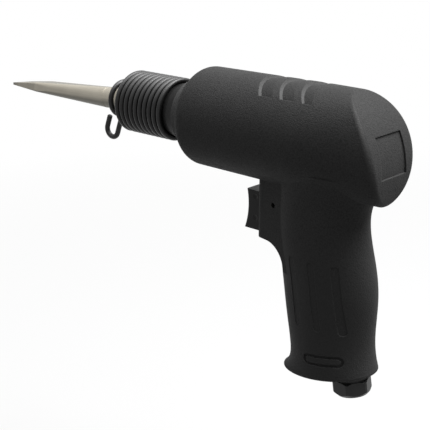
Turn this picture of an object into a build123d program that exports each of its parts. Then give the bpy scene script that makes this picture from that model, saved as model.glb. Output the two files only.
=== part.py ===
from build123d import *
import os
from math import cos, pi, radians, sin, sqrt, tan

# Air hammer with a pistol grip, a flat chisel and a coil-spring tool retainer.
# Millimetres. +X points to the chisel, +Y to the tool's left, +Z up.
# The origin is the middle of the air inlet's mouth, under the grip.
# A drop is a distance below the barrel's axis.

# Main axes
barrel_height = 136.6           # barrel's axis above the origin
inlet_lean = 9.5                # degrees that the inlet and the foot of the grip lean

# Housing, along the barrel
nose_x = 117.4                  # front edge of the neck
neck_wall = 1.7
neck_flare = 0.8                # the neck widens by this much towards the shoulder
neck_length = 5.0
nose_round = 0.8
shoulder_length = 6.8           # slanted, up to the body's corner
shoulder_round = 6.5
body_front_radius = 27.9
body_rear_radius = 28.4
body_length = 135.2             # neck to back
tail_length = 49.2              # the barrel narrows over this length towards the back
tail_half_width = 18.9
tail_slices = 6
tail_curve = 1.5                # how late the narrowing comes
tail_overrun = 1.1              # the slices run past the back, which then cuts them
back_radius = 46.8              # roundness of the back, seen from the side
back_centre_drop = 12.3
back_edge_round = 3.0

# Grip: level oval slices from the barrel down to the foot
grip_half_width = 19.5
root_drop = 14.0
root_half_width = 23.5          # the sides spread into the barrel
root_front = 52.0
root_inset = 0.9                # root ahead of the back
throat_drop = 38.0
throat_front = 50.0
throat_rear = -3.1
hollow_drop = 60.0
hollow_front = 48.4
hollow_rear = -6.6
palm_drop = 72.0
palm_front = 46.6
palm_rear = -9.3
middle_height = 41.6            # heights above the origin from here down
middle_front = 42.8
middle_rear = -9.8
waist_height = 19.6
waist_front = 39.0
waist_rear = -10.9
foot_front = 53.6
foot_rear = -18.6
foot_half_width = 20.5
foot_spare = 1.6                # the last slice lies this far under the foot, which then cuts it
foot_round = 1.0

# Trigger housing: a wedge ahead of the grip
housing_front = 60.8            # its front face
housing_half_width = 11.6       # at the front
housing_corner = 5.0
housing_root_drop = 20.0        # its top, inside the barrel
housing_rear_x = 18.0           # its flanks end at a round of this centre and the next radius
housing_rear_radius = 19.0
shelf_gap = 1.8                 # shelf below the trigger
shelf_length = 8.6
shelf_curve = 14.2              # from the shelf into the front of the grip

# Jacket over the casting
jacket_wall = 2.6
jacket_gap = 0.2                # bond between jacket and casting
nose_cover = 8.0                # the jacket alone forms this much of the neck
detail_depth = 0.9              # of the back panel and the pills in the jacket
groove_depth = 1.3              # the top grooves are scooped: steep in front, running out behind
groove_run_out = 0.15           # height above the jacket at the rear edge of a groove
groove_setback = 55.8           # front of the first groove behind the neck's front edge
groove_pitch = 13.8
groove_count = 3
groove_length = 9.5             # front to run-out
groove_sweep = 82.0             # degrees round the barrel
groove_rake = 49.0              # degrees that the grooves lean back down the barrel's sides
groove_slices = 5
panel_width = 22.0
panel_height = 20.8
panel_drop = 1.7                # middle of the back panel
flute_depth = 0.35
flute_length = 38.0
flute_width = 4.2
flute_pitch = 13.0
flute_count = 3
flute_middle_x = 14.5
flute_middle_height = 57.1
pill_length = 22.6
pill_width = 6.2
pill_rim = 1.6                  # groove round the raised inner pill
pill_x = 8.4
pill_height = 22.5
pill_lean = 6.5                 # degrees

# Barrel and its nose
barrel_stickout = 39.0          # nose face ahead of the neck
barrel_radius = 16.0
barrel_tip_length = 12.0
barrel_tip_radius = 12.0
barrel_chamfer = 1.0
piston_bore_radius = 9.525
nose_land = 38.0                # length of the chisel's guide bore
exhaust_gap = 1.4               # round the barrel, at the neck
exhaust_port_radius = 2.25
exhaust_setback = 50.0          # ports behind the guide bore
return_hole_radius = 1.2        # air to the front of the piston
return_setback = 6.4            # end of the return holes behind the guide bore
return_cross_radius = 1.0       # cross drillings from the return holes into the bore
return_cross_setback = 2.0      # middle of the cross drillings behind the end of the return holes
gallery_depth = 1.7             # exhaust space between barrel and casting
thread_length = 29.0            # barrel held in the casting

# Piston
piston_length = 30.0
piston_clearance = 0.03
piston_travel = 60.0
piston_rear_gap = 0.7
piston_chamfer = 1.0
strike_gap = 1.3                # between the piston and the pressed chisel
strike_reach = 1.0              # the pressed chisel reaches this far into the piston's bore

# Distributor valve behind the barrel
plate_thickness = 5.0
cap_thickness = 11.0
gasket_thickness = 1.0
gasket_hole_radius = 8.0
stack_clearance = 0.05
plate_hole_radius = 4.5
disc_radius = 8.0
disc_thickness = 1.2
disc_travel = 1.2
disc_clearance = 0.1
feed_hole_radius = 4.0
feed_groove_depth = 1.5
feed_groove_width = 4.5
feed_cross_radius = 1.5
feed_floor = 2.1                # end of the feed hole behind the middle of the feed groove
dowel_radius = 1.25
dowel_in_barrel = 4.0
dowel_in_cap = 7.0

# Chisel
chisel_droop = 1.5              # degrees that it hangs in its loose guide bore
chisel_roll = 5.2               # degrees that it has turned about its own axis, as it freely does
chisel_travel = 11.0
shank_radius = 5.1
shank_clearance = 0.05
shank_chamfer = 0.8
collar_gap = 0.5                # between the barrel's nose and the pressed collar
collar_thickness = 6.0
collar_overlap = 1.0            # the retainer's ring covers the collar's rim by this much
chisel_neck_radius = 6.4
chisel_neck_length = 15.0
chisel_stickout = 101.9         # cutting edge ahead of the collar
blade_width = 16.0              # between the flat sides, ground on the forged blade
wedge_length = 23.0             # steeper stretch up to the cutting edge
wedge_thickness = 6.2           # where the wedge starts
wedge_spread = 0.7              # forged blade wider than its flat sides there
wedge_corner = 2.0
edge_thickness = 1.4
edge_spread = 0.9               # forged blade wider than its flat sides at the cutting edge
edge_corner = 0.4

# Retainer spring
spring_wire = 3.2
spring_gap = 9.0                # spring ahead of the neck
spring_end_gap = 0.9            # spring ahead of its step on the barrel
spring_seat_step = 0.6
spring_bite = 0.1               # grip of the coils on the barrel's nose
coil_gap = 0.63
spring_turns = 9.7
cone_turns = 0.6
cone_lead = 0.2                 # share of the cone before the coil starts to shrink
cone_settle = 0.85              # share of the cone after which the wire stops stretching forward
ring_turns = 0.5
ring_clearance = 2.1            # between the ring and the chisel's neck
ring_gap = 1.4                  # ring's wire ahead of the collar
ring_end_angle = -75.0          # where the wire leaves the ring for the hook
hook_lean = 21.0
hook_radius = 4.8
hook_fall = 3.6                 # between the ring and the hook's straight leg
hook_advance = 1.6
hook_leg = 10.2
hook_end_leg = 7.2

# Trigger
trigger_half_width = 7.0
trigger_top_drop = 34.4
trigger_height = 22.4
trigger_top_reach = 10.2        # ahead of the housing
trigger_bottom_reach = 11.7
trigger_depth = 6.4             # inside the housing
trigger_dip = 1.6
trigger_travel = 5.5
trigger_clearance = 0.4
trigger_edge = 1.2
dimple_depth = 0.5              # of two round dimples in each side of the trigger
dimple_radius = 1.6
dimple_reach = 3.7              # ahead of the housing
dimple_top_fall = 3.5           # below the top of the trigger
dimple_pitch = 12.0
tongue_half_width = 3.0
tongue_half_height = 3.15
tongue_end = 3.6                # solid behind the pin's slot
pin_radius = 1.35
pin_clearance = 0.3
pin_setback = 13.8              # behind the front of the housing
pin_fall = 3.2                  # below the top of the trigger
pin_end_depth = 1.0             # pin's ends inside the sides of the trigger housing's front
pin_hole_clearance = 0.15       # round the pin, in the jacket's sides

# Throttle
stem_fall = 14.0                # stem below the top of the trigger
bush_radius = 6.5
bush_length = 20.5
bush_setback = 1.5              # room behind the pressed trigger
bush_guide_length = 8.0
bush_chamber_radius = 4.6
bush_port_radius = 2.2
bush_port_setback = 3.1         # middle of the port ahead of the seat
bush_groove_width = 1.9
bush_groove_depth = 1.1
bush_groove_setback = 3.0
stem_radius = 2.5
stem_clearance = 0.05
stem_gap = 0.05
stem_seal_length = 1.6
stem_seal_wall = 1.2
valve_head_margin = 1.2         # seal wider than the seat's opening
valve_head_thickness = 2.5
valve_seal_thickness = 2.0
valve_spigot_radius = 1.8
spring_chamber_margin = 2.2     # round the valve's head
throttle_spring_length = 14.5
throttle_spring_radius = 4.0    # middle of the wire
throttle_spring_gap = 0.3
throttle_wire = 0.9
throttle_spring_turns = 5
feed_passage_radius = 2.2

# Air inlet
hex_across_flats = 19.0
hex_length = 8.6
hex_turn = -10.0                # degrees that the bushing has ended up at, screwed home
hex_corner_cut = 0.4            # turned off the corners
hex_chamfer = 1.0               # at the neck's end
hex_mouth_chamfer = 2.2
inlet_neck_shown = 3.5          # between the hexagon and the foot of the grip
inlet_neck_radius = 8.8
inlet_neck_opening = 1.0        # round the neck, in the jacket
inlet_bore_radius = 5.6
inlet_bore_depth = 13.0
inlet_thread_wall = 2.2
inlet_thread_length = 12.0
inlet_seal_thickness = 1.2
inlet_seal_margin = 0.6
screen_step = 0.6               # the screen's seat is this much narrower than the bore
screen_ledge = 0.8              # the screen rests on this rim
screen_thickness = 1.2
screen_hole_radius = 0.6
screen_pitch = 2.0
air_passage_radius = 5.0

# Stations worked out from the sizes above
lean_sin = sin(radians(inlet_lean))
lean_cos = cos(radians(inlet_lean))
neck_back_x = nose_x - neck_length
shoulder_back_x = neck_back_x - shoulder_length
back_x = nose_x - body_length
tail_start_x = back_x + tail_length
nose_opening_radius = barrel_radius + exhaust_gap
neck_radius = nose_opening_radius + neck_wall
casting_front_x = nose_x - nose_cover
casting_inset = jacket_wall + jacket_gap
trigger_bottom_drop = trigger_top_drop + trigger_height
shelf_drop = trigger_bottom_drop + shelf_gap
shelf_end_x = housing_front - shelf_length
inlet_standout = hex_length + inlet_neck_shown
foot_height = (inlet_standout - foot_front * lean_sin) / lean_cos - foot_spare
barrel_nose_x = nose_x + barrel_stickout
bore_front_x = barrel_nose_x - nose_land
piston_front_x = bore_front_x - strike_reach - strike_gap
barrel_rear_x = piston_front_x - piston_length - piston_travel - piston_rear_gap
thread_front_x = barrel_rear_x + thread_length
plate_rear_x = barrel_rear_x - plate_thickness
cap_rear_x = plate_rear_x - cap_thickness
pocket_rear_x = cap_rear_x - gasket_thickness
trigger_rear_x = housing_front - trigger_depth
pin_x = housing_front - pin_setback
pin_drop = trigger_top_drop + pin_fall
throttle_drop = trigger_top_drop + stem_fall
throttle_height = barrel_height - throttle_drop
bush_front_x = trigger_rear_x - trigger_travel - bush_setback
bush_rear_x = bush_front_x - bush_length
head_front_x = bush_rear_x - valve_seal_thickness
head_rear_x = head_front_x - valve_head_thickness
chamber_rear_x = head_rear_x - throttle_spring_length
barrel_axis = Axis((0, 0, barrel_height), (1, 0, 0))


def station(x, drop=0.0):
    """Plane across the tool at x, facing forward, centred at a drop below the barrel's axis."""
    return Plane(origin=(x, 0, barrel_height - drop), x_dir=(0, 1, 0), z_dir=(1, 0, 0))


def inlet_station(distance):
    """Plane across the air inlet, a distance up from its mouth, facing into the grip."""
    middle = (distance * lean_sin, 0, distance * lean_cos)
    return Plane(origin=middle, x_dir=(lean_cos, 0, -lean_sin), z_dir=(lean_sin, 0, lean_cos))


def bar(plane, radius, length, mode=Mode.ADD):
    """Round bar, or round hole with Mode.SUBTRACT, that rises from a plane."""
    with BuildSketch(plane) as end:
        Circle(radius)
    extrude(end.sketch, amount=length, mode=mode)


def save(part, name):
    """Label a finished piece and write its STEP file."""
    part.label = name
    export_step(part, f"parts/{name}.step")


# Outer form of the housing, drawn in by an inset all round


def tail_form(inset):
    """Back end of the barrel: it narrows to an oval and is rounded off behind."""
    with BuildPart() as tail:
        for number in range(tail_slices):
            share = tail_overrun * number / (tail_slices - 1)
            x = tail_start_x - tail_length * share
            half_width = body_rear_radius - (body_rear_radius - tail_half_width) * share**tail_curve
            with BuildSketch(Plane(origin=(x, 0, barrel_height), x_dir=(0, 0, 1), z_dir=(1, 0, 0))):
                Ellipse(body_rear_radius - inset, half_width - inset)
        loft()
        with BuildSketch(Plane.XZ):
            with Locations((back_x + back_radius, barrel_height - back_centre_drop)):
                Circle(back_radius - inset)
        extrude(amount=2 * body_rear_radius, both=True, mode=Mode.INTERSECT)
        fillet(tail.faces().filter_by(GeomType.CYLINDER).edges(), back_edge_round)
    return tail.part


def grip_form(inset):
    """Grip, from inside the barrel down to its slanted foot."""
    slices = (
        (barrel_height - root_drop, root_front, back_x + root_inset, root_half_width),
        (barrel_height - throat_drop, throat_front, throat_rear, grip_half_width),
        (barrel_height - hollow_drop, hollow_front, hollow_rear, grip_half_width),
        (barrel_height - palm_drop, palm_front, palm_rear, grip_half_width),
        (middle_height, middle_front, middle_rear, grip_half_width),
        (waist_height, waist_front, waist_rear, grip_half_width),
        (foot_height, foot_front, foot_rear, foot_half_width),
    )
    with BuildPart() as grip:
        for height, front, rear, half_width in slices:
            with BuildSketch(Plane(origin=((front + rear) / 2, 0, height))):
                Ellipse((front - rear) / 2 - inset, half_width - inset)
        loft()
        foot = inlet_station(inlet_standout + inset)
        split(bisect_by=foot, keep=Keep.TOP)
        fillet(grip.faces().sort_by(Axis.Z)[0].edges(), foot_round)
    return grip.part


def trigger_housing_form(inset):
    """Wedge that carries the trigger, with a shelf that curves down into the grip."""
    corner_x = housing_front - housing_corner
    corner_y = housing_half_width - housing_corner
    shelf_height = barrel_height - shelf_drop
    with BuildPart() as wedge:
        with BuildSketch(Plane.XY.offset(barrel_height - housing_root_drop)):
            with Locations((housing_rear_x, 0)):
                Circle(housing_rear_radius - inset)
            with Locations((corner_x, corner_y), (corner_x, -corner_y)):
                Circle(housing_corner - inset)
            make_hull()
        extrude(amount=housing_root_drop - shelf_drop - shelf_curve)
        with BuildSketch(Plane.XZ):
            with BuildLine():
                clear_x = housing_front + shelf_curve
                clear_height = shelf_height - 2 * shelf_curve
                shelf_end = (shelf_end_x, shelf_height + inset)
                curve_end = (shelf_end_x - shelf_curve - inset, shelf_height - shelf_curve)
                TangentArc(shelf_end, curve_end, tangent=(-1, 0))
                Polyline(curve_end, (curve_end[0], clear_height), (clear_x, clear_height))
                Polyline((clear_x, clear_height), (clear_x, shelf_height + inset), shelf_end)
            make_face()
        extrude(amount=2 * housing_rear_radius, both=True, mode=Mode.SUBTRACT)
    return wedge.part


def body_form(inset):
    """Whole outer form: nose and barrel, tail, grip and trigger housing."""
    with BuildPart() as form:
        body_front = (shoulder_back_x - inset / 2, barrel_height + body_front_radius - inset)
        body_rear = (tail_start_x, barrel_height + body_rear_radius - inset)
        neck_front = (nose_x - inset, barrel_height + neck_radius - inset)
        neck_back = (neck_back_x - inset, barrel_height + neck_radius + neck_flare - inset)
        with BuildSketch(Plane.XZ):
            with BuildLine():
                FilletPolyline(neck_back, neck_front, (neck_front[0], barrel_height), radius=nose_round)
                Polyline((neck_front[0], barrel_height), (tail_start_x, barrel_height), body_rear)
                FilletPolyline(body_rear, body_front, neck_back, radius=shoulder_round)
            make_face()
        revolve(axis=barrel_axis)
        add(tail_form(inset))
        add(grip_form(inset))
        add(trigger_housing_form(inset))
    return form.part


# Grooves across the top of the jacket, each lofted round the barrel


def groove_form(front):
    """Scooped groove with its front edge at x, leaning back down both sides of the barrel."""
    share = (front - tail_start_x) / (shoulder_back_x - tail_start_x)
    radius = body_rear_radius + (body_front_radius - body_rear_radius) * share
    with BuildPart() as groove:
        for number in range(groove_slices):
            angle = radians(groove_sweep) * (number / (groove_slices - 1) - 0.5)
            side = radius * sin(angle)
            rise = radius * cos(angle)
            setback = (radius - rise) * tan(radians(groove_rake))
            across = Plane(
                origin=(front - setback, side, barrel_height + rise),
                x_dir=(1, 0, 0),
                z_dir=(0, -cos(angle), sin(angle)),
            )
            with BuildSketch(across):
                with BuildLine():
                    Polyline(
                        (groove_depth, groove_depth),
                        (-groove_depth, -groove_depth),
                        (-groove_length, groove_run_out),
                        (-groove_length, groove_depth),
                        close=True,
                    )
                make_face()
        loft()
    return groove.part


top_grooves = [groove_form(nose_x - groove_setback - groove_pitch * number) for number in range(groove_count)]

# Flutes in the sides of the grip
with BuildPart() as grip_flutes:
    with BuildSketch(Plane.XZ):
        for number in range(flute_count):
            offset_x = (number - (flute_count - 1) / 2) * flute_pitch
            with Locations((flute_middle_x + offset_x, flute_middle_height)):
                SlotOverall(flute_length, flute_width, rotation=90 - inlet_lean)
    extrude(amount=2 * grip_half_width, both=True)
    add(body_form(flute_depth), mode=Mode.SUBTRACT)

# Back panel and pills that are sunk into the jacket
with BuildPart() as sunk_details:
    with BuildSketch(station(back_x - panel_width, panel_drop)):
        Rectangle(panel_width, panel_height)
    extrude(amount=2 * panel_width)
    with BuildSketch(Plane.XZ):
        with Locations((pill_x, pill_height)):
            SlotOverall(pill_length, pill_width, rotation=-pill_lean)
            SlotOverall(
                pill_length - 2 * pill_rim,
                pill_width - 2 * pill_rim,
                rotation=-pill_lean,
                mode=Mode.SUBTRACT,
            )
    extrude(amount=2 * grip_half_width, both=True)
    add(body_form(detail_depth), mode=Mode.SUBTRACT)

# Space that the casting fills inside the jacket
with BuildPart() as jacket_inside:
    add(body_form(jacket_wall))
    split(bisect_by=station(casting_front_x), keep=Keep.BOTTOM)

trigger_opening_drop = trigger_top_drop + trigger_height / 2
trigger_opening_height = trigger_height + 2 * trigger_clearance
trigger_opening_width = 2 * (trigger_half_width + trigger_clearance)
trigger_well_x = trigger_rear_x - trigger_travel - trigger_clearance
trigger_top_x = housing_front + trigger_top_reach
trigger_bottom_x = housing_front + trigger_bottom_reach

# Jacket
with BuildPart() as housing_jacket:
    add(body_form(0))
    add(top_grooves, mode=Mode.SUBTRACT)
    add(grip_flutes.part, mode=Mode.SUBTRACT)
    add(sunk_details.part, mode=Mode.SUBTRACT)
    add(jacket_inside.part, mode=Mode.SUBTRACT)
    bar(station(casting_front_x), nose_opening_radius, nose_x - casting_front_x, Mode.SUBTRACT)
    with BuildSketch(station(trigger_well_x, trigger_opening_drop)):
        Rectangle(trigger_opening_width, trigger_opening_height)
    extrude(amount=trigger_bottom_x - trigger_well_x, mode=Mode.SUBTRACT)
    with BuildSketch(Plane.XZ):
        with Locations((pin_x, barrel_height - pin_drop)):
            Circle(pin_radius + pin_hole_clearance)
    extrude(amount=2 * grip_half_width, both=True, mode=Mode.SUBTRACT)
    bar(
        inlet_station(0),
        inlet_neck_radius + inlet_neck_opening,
        inlet_standout + 2 * jacket_wall,
        Mode.SUBTRACT,
    )

tongue_rear_x = pin_x - pin_radius - pin_clearance - tongue_end
tongue_slot_rear_x = tongue_rear_x - trigger_travel - trigger_clearance
tongue_height = 2 * tongue_half_height
air_passage_length = throttle_height / lean_cos
bush_port_x = bush_rear_x + bush_port_setback
feed_groove_x = cap_rear_x + cap_thickness / 2
feed_groove_radius = barrel_radius - feed_groove_depth
gallery_radius = barrel_radius + gallery_depth
valve_head_radius = bush_chamber_radius + valve_head_margin
casting_foot = inlet_standout + casting_inset
inlet_thread_radius = inlet_bore_radius + inlet_thread_wall

# Casting
feed_start = Vector(bush_port_x, 0, throttle_height)
feed_end = Vector(feed_groove_x, 0, barrel_height - feed_groove_radius)
with BuildPart() as body_casting:
    add(body_form(casting_inset))
    split(bisect_by=station(casting_front_x), keep=Keep.BOTTOM)
    bar(station(pocket_rear_x), barrel_radius, casting_front_x - pocket_rear_x, Mode.SUBTRACT)
    bar(station(thread_front_x), gallery_radius, casting_front_x - thread_front_x, Mode.SUBTRACT)
    with BuildSketch(station(trigger_well_x, trigger_opening_drop)):
        Rectangle(trigger_opening_width, trigger_opening_height)
    extrude(amount=trigger_bottom_x - trigger_well_x, mode=Mode.SUBTRACT)
    with BuildSketch(station(tongue_slot_rear_x, pin_drop)):
        Rectangle(
            2 * (tongue_half_width + trigger_clearance),
            tongue_height + 2 * trigger_clearance,
        )
    extrude(amount=trigger_bottom_x - tongue_slot_rear_x, mode=Mode.SUBTRACT)
    with BuildSketch(Plane.XZ):
        with Locations((pin_x, barrel_height - pin_drop)):
            Circle(pin_radius)
    extrude(amount=2 * grip_half_width, both=True, mode=Mode.SUBTRACT)
    bar(station(bush_rear_x, throttle_drop), bush_radius, trigger_well_x - bush_rear_x, Mode.SUBTRACT)
    bar(
        station(chamber_rear_x, throttle_drop),
        valve_head_radius + spring_chamber_margin,
        bush_rear_x - chamber_rear_x,
        Mode.SUBTRACT,
    )
    bar(inlet_station(casting_foot), air_passage_radius, air_passage_length - casting_foot, Mode.SUBTRACT)
    bar(inlet_station(casting_foot), inlet_thread_radius, inlet_thread_length, Mode.SUBTRACT)
    feed_direction = feed_end - feed_start
    bar(
        Plane(origin=feed_start, z_dir=feed_direction),
        feed_passage_radius,
        feed_direction.length,
        Mode.SUBTRACT,
    )

# Barrel: plain cylinder with a spring seat and a guide bore for the chisel
droop_reach = sin(radians(chisel_droop)) * (nose_land / 2)
nose_bore_radius = shank_radius + droop_reach + shank_clearance
spring_rear_x = nose_x + spring_gap
spring_seat_radius = barrel_radius - spring_seat_step
spring_radius = spring_seat_radius - spring_bite + spring_wire / 2
spring_step_x = spring_rear_x - spring_wire / 2 - spring_end_gap
barrel_tip_x = barrel_nose_x - barrel_tip_length
exhaust_port_x = bore_front_x - exhaust_setback
return_hole_end_x = bore_front_x - return_setback
hole_circle_radius = (piston_bore_radius + barrel_radius) / 2
with BuildPart() as barrel:
    bar(station(barrel_rear_x), barrel_radius, spring_step_x - barrel_rear_x)
    bar(station(spring_step_x), spring_seat_radius, barrel_tip_x - spring_step_x)
    bar(station(barrel_tip_x), barrel_tip_radius, barrel_tip_length)
    chamfer(barrel.edges().filter_by(GeomType.CIRCLE).sort_by(Axis.X)[-1], barrel_chamfer)
    bar(station(barrel_rear_x), piston_bore_radius, bore_front_x - barrel_rear_x, Mode.SUBTRACT)
    bar(station(bore_front_x), nose_bore_radius, nose_land, Mode.SUBTRACT)
    with BuildSketch(Plane.XY.offset(barrel_height)):
        with Locations((exhaust_port_x, 0)):
            Circle(exhaust_port_radius)
    extrude(amount=2 * barrel_radius, both=True, mode=Mode.SUBTRACT)
    with BuildSketch(Plane.XZ):
        with Locations((exhaust_port_x, barrel_height)):
            Circle(exhaust_port_radius)
    extrude(amount=2 * barrel_radius, both=True, mode=Mode.SUBTRACT)
    with BuildSketch(station(barrel_rear_x)):
        with PolarLocations(hole_circle_radius, 2):
            Circle(return_hole_radius)
    extrude(amount=return_hole_end_x - barrel_rear_x, mode=Mode.SUBTRACT)
    with BuildSketch(Plane.XZ):
        with Locations((return_hole_end_x - return_cross_setback, barrel_height)):
            Circle(return_cross_radius)
    extrude(amount=hole_circle_radius, both=True, mode=Mode.SUBTRACT)
    with BuildSketch(station(barrel_rear_x)):
        with PolarLocations(hole_circle_radius, 2, start_angle=90):
            Circle(dowel_radius)
    extrude(amount=dowel_in_barrel, mode=Mode.SUBTRACT)

# Piston
with BuildPart() as piston:
    bar(station(piston_front_x - piston_length), piston_bore_radius - piston_clearance, piston_length)
    chamfer(piston.edges().filter_by(GeomType.CIRCLE), piston_chamfer)

# Distributor valve: plate, disc, cap, dowels and gasket
stack_radius = barrel_radius - stack_clearance
disc_recess = disc_thickness + disc_travel + disc_clearance
with BuildPart() as valve_plate:
    bar(station(plate_rear_x), stack_radius, plate_thickness)
    bar(station(plate_rear_x), plate_hole_radius, plate_thickness, Mode.SUBTRACT)
    with BuildSketch(station(plate_rear_x)):
        with PolarLocations(hole_circle_radius, 2):
            Circle(return_hole_radius)
        with PolarLocations(hole_circle_radius, 2, start_angle=90):
            Circle(dowel_radius)
    extrude(amount=plate_thickness, mode=Mode.SUBTRACT)

with BuildPart() as valve_cap:
    bar(station(cap_rear_x), stack_radius, cap_thickness)
    with BuildSketch(station(feed_groove_x - feed_groove_width / 2)):
        Circle(stack_radius)
        Circle(feed_groove_radius, mode=Mode.SUBTRACT)
    extrude(amount=feed_groove_width, mode=Mode.SUBTRACT)
    bar(
        station(plate_rear_x - disc_recess),
        disc_radius + disc_clearance,
        disc_recess,
        Mode.SUBTRACT,
    )
    bar(
        station(feed_groove_x - feed_floor),
        feed_hole_radius,
        plate_rear_x - feed_groove_x + feed_floor,
        Mode.SUBTRACT,
    )
    with BuildSketch(Plane.XZ):
        with Locations((feed_groove_x, barrel_height)):
            Circle(feed_cross_radius)
    extrude(amount=stack_radius, both=True, mode=Mode.SUBTRACT)
    with BuildSketch(station(plate_rear_x)):
        with PolarLocations(hole_circle_radius, 2, start_angle=90):
            Circle(dowel_radius)
    extrude(amount=-dowel_in_cap, mode=Mode.SUBTRACT)

with BuildPart() as valve_disc:
    bar(station(plate_rear_x - disc_recess + disc_clearance / 2), disc_radius, disc_thickness)

with BuildPart() as valve_dowels:
    with BuildSketch(station(barrel_rear_x + dowel_in_barrel)):
        with PolarLocations(hole_circle_radius, 2, start_angle=90):
            Circle(dowel_radius)
    extrude(amount=-(dowel_in_barrel + plate_thickness + dowel_in_cap))

with BuildPart() as cap_gasket:
    bar(station(pocket_rear_x), stack_radius, gasket_thickness)
    bar(station(pocket_rear_x), gasket_hole_radius, gasket_thickness, Mode.SUBTRACT)

# Chisel: it hangs at a slight droop, turned about the middle of its guide bore
chisel_forward = (cos(radians(chisel_droop)), 0, -sin(radians(chisel_droop)))
chisel_across = Vector(0, 1, 0).rotate(Axis((0, 0, 0), chisel_forward), chisel_roll)
chisel_pivot = Vector(barrel_nose_x - nose_land / 2, 0, barrel_height)


def chisel_station(x):
    """Plane across the chisel at x along its own drooping axis, turned as the blade is."""
    middle = chisel_pivot + Vector(*chisel_forward) * (x - chisel_pivot.X)
    return Plane(origin=middle, x_dir=chisel_across, z_dir=chisel_forward)


collar_rear_x = barrel_nose_x + chisel_travel + collar_gap
collar_front_x = collar_rear_x + collar_thickness
collar_radius = chisel_neck_radius + ring_clearance + collar_overlap
shank_length = collar_gap + nose_land + strike_reach
blade_start_x = collar_front_x + chisel_neck_length
chisel_tip_x = collar_front_x + chisel_stickout
wedge_x = chisel_tip_x - wedge_length
neck_side = 2 * chisel_neck_radius
with BuildPart() as chisel:
    bar(chisel_station(collar_rear_x - shank_length), shank_radius, shank_length)
    chamfer(chisel.edges().filter_by(GeomType.CIRCLE).sort_by(Axis.X)[0], shank_chamfer)
    bar(chisel_station(collar_rear_x), collar_radius, collar_thickness)
    chamfer(chisel.edges().filter_by(GeomType.CIRCLE).sort_by(Axis.X)[-1], shank_chamfer)
    bar(chisel_station(collar_front_x), chisel_neck_radius, chisel_neck_length)
    with BuildSketch(chisel_station(blade_start_x)):
        RectangleRounded(neck_side, neck_side, chisel_neck_radius - edge_corner)
    with BuildSketch(chisel_station(wedge_x)):
        RectangleRounded(blade_width + wedge_spread, wedge_thickness, wedge_corner)
    loft(ruled=True)
    with BuildSketch(chisel_station(wedge_x)):
        RectangleRounded(blade_width + wedge_spread, wedge_thickness, wedge_corner)
    with BuildSketch(chisel_station(chisel_tip_x)):
        RectangleRounded(blade_width + edge_spread, edge_thickness, edge_corner)
    loft(ruled=True)
    with BuildSketch(chisel_station(blade_start_x)):
        with Locations((blade_width, 0), (-blade_width, 0)):
            Rectangle(blade_width, neck_side)
    extrude(amount=chisel_stickout, mode=Mode.SUBTRACT)

# Retainer spring: one wire, wound left-handed, with a cone, a small ring and a hook
spring_pitch = spring_wire + coil_gap
ring_radius = chisel_neck_radius + ring_clearance + spring_wire / 2
ring_start_x = collar_front_x + ring_gap
cone_stretch = ring_start_x - spring_rear_x - spring_pitch * (spring_turns + cone_turns)
all_turns = spring_turns + cone_turns + ring_turns


def ease(share):
    """Smooth step from 0 to 1, level at both ends."""
    share = min(max(share, 0.0), 1.0)
    return share * share * (3 - 2 * share)


def spring_point(turn):
    """Middle of the wire after a number of turns from the rear end."""
    cone = (turn - spring_turns) / cone_turns
    shrink = ease((cone - cone_lead) / (1 - cone_lead))
    radius = spring_radius + (ring_radius - spring_radius) * shrink
    x = spring_rear_x + spring_pitch * turn + cone_stretch * ease(cone / cone_settle)
    angle = radians(ring_end_angle) + 2 * pi * (all_turns - turn)
    return Vector(x, radius * cos(angle), barrel_height + radius * sin(angle))


def spring_heading(turn):
    """Direction of the wire after a number of turns."""
    step = 0.001
    return (spring_point(turn + step) - spring_point(turn - step)).normalized()


def biarc(start, start_heading, end, end_heading):
    """Two tangent arcs from a point and heading to another point and heading."""
    span = end - start
    both = start_heading + end_heading
    spread = 2 * (1 - start_heading.dot(end_heading))
    reach = span.dot(both)
    handle = (sqrt(reach * reach + spread * span.dot(span)) - reach) / spread
    first = start + start_heading * handle
    second = end - end_heading * handle
    joint = (first + second) * 0.5
    TangentArc(start, joint, tangent=start_heading)
    TangentArc(joint, end, tangent=second - first)


hook_down = Vector(sin(radians(hook_lean)), 0, -cos(radians(hook_lean)))
hook_across = Vector(cos(radians(hook_lean)), 0, sin(radians(hook_lean)))
ring_end = spring_point(all_turns)
hook_start = Vector(ring_end.X + hook_advance, 0, ring_end.Z - hook_fall)
hook_turn = hook_start + hook_down * hook_leg
hook_middle = hook_turn + hook_across * hook_radius
hook_back = hook_middle + hook_across * hook_radius
quarters = round(all_turns * 4)
stops = [all_turns * number / quarters for number in range(quarters + 1)]
with BuildPart() as retainer_spring:
    with BuildLine() as spring_path:
        Line(spring_point(0) - spring_heading(0) * spring_wire, spring_point(0))
        for first_stop, next_stop in zip(stops, stops[1:]):
            biarc(
                spring_point(first_stop),
                spring_heading(first_stop),
                spring_point(next_stop),
                spring_heading(next_stop),
            )
        biarc(ring_end, spring_heading(all_turns), hook_start, hook_down)
        Line(hook_start, hook_turn)
        ThreePointArc(hook_turn, hook_middle + hook_down * hook_radius, hook_back)
        Line(hook_back, hook_back - hook_down * hook_end_leg)
    with BuildSketch(Plane(origin=spring_path.wire() @ 0, z_dir=spring_path.wire() % 0)):
        Circle(spring_wire / 2)
    sweep(path=spring_path.wire())


def least_gap(path, wire):
    """Smallest gap between one stretch of a wound wire and another, measured on points."""
    points_per_wire = 2
    own_stretch = 6
    count = round(path.length / wire * points_per_wire)
    points = [path.position_at(number / count) for number in range(count + 1)]
    apart = own_stretch * points_per_wire
    gaps = [
        (points[here] - points[there]).length
        for here in range(count + 1)
        for there in range(here + apart, count + 1)
    ]
    return min(gaps) - wire


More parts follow.
